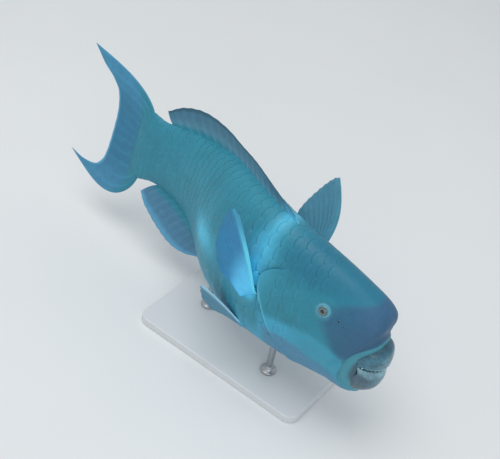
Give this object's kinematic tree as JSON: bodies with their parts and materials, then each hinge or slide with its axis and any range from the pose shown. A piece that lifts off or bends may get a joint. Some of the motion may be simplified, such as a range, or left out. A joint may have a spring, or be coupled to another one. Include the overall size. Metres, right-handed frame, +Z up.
{
  "type": "parrotfish on a display stand",
  "caption": "Life-size steep-headed parrotfish with a beak, raised pectoral fins and a crescent tail, on a flat base with short rods.",
  "frame": {"origin": "middle of the stand base's underside, on the surface that it rests on", "axes": "+X towards the fish's head, +Y to its left, +Z up"},
  "size_m": [0.5328, 0.1525, 0.2402],
  "materials": {
    "head_skin": "wet scaled skin, blue-violet snout, turquoise lip and cheek bands",
    "body_skin": "wet teal scaled skin with large scales",
    "beak": "smooth fused teeth, grey-green with a pale cutting edge",
    "eye": "glossy cornea over a grey iris and a dark pupil",
    "dorsal_fin": "thin grey-violet membrane with rays and a dark edge",
    "anal_fin": "thin violet-blue membrane with rays",
    "caudal_fin": "thin blue membrane with rays and a pale rear edge",
    "pectoral_fin": "thin blue membrane with a bright leading edge",
    "pelvic_fin": "thin membrane with a pale leading ray",
    "stand_base": "satin pale grey paint",
    "stand_rod": "brushed steel"
  },
  "bodies": {
    "root": {"head": "head_skin", "torso": "body_skin", "tail_stem": "body_skin", "beak_upper": "beak", "beak_lower": "beak", "dorsal_fin": "dorsal_fin", "anal_fin": "anal_fin", "caudal_fin": "caudal_fin", "eye_left": "eye", "eye_right": "eye", "pectoral_fin_left": "pectoral_fin", "pectoral_fin_right": "pectoral_fin", "pelvic_fin_left": "pelvic_fin", "pelvic_fin_right": "pelvic_fin", "stand_base": "stand_base", "stand_rod_front": "stand_rod", "stand_rod_rear": "stand_rod"}
  },
  "joints": []
}
